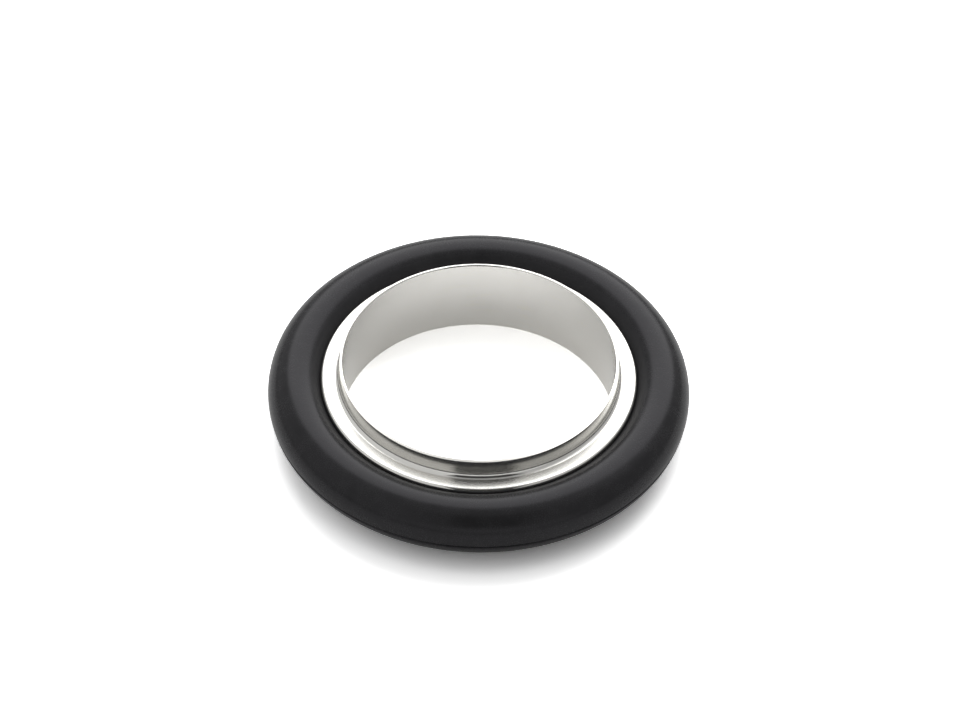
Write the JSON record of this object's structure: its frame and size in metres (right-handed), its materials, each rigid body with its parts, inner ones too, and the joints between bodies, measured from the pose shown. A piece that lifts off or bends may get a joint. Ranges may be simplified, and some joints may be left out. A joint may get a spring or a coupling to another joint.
{
  "type": "kf centering ring",
  "caption": "Turned stainless centering ring for a small vacuum flange joint: a clear bore, thin pilots on both sides, and a black O-ring seated round its rib.",
  "frame": {"origin": "centre of the ring, on the axis of the bore and half way between the two pilot rims", "axes": "+Z along the axis of the bore; the ring is round, so +X and +Y are any two directions across it"},
  "size_m": [0.0388, 0.0388, 0.0078],
  "materials": {
    "stainless": "fine turned stainless steel, polished, with circular tool marks",
    "elastomer": "moulded black fluoroelastomer, satin, with a faint mould seam"
  },
  "bodies": {
    "root": {"centering_ring": "stainless", "o_ring": "elastomer"}
  },
  "joints": []
}
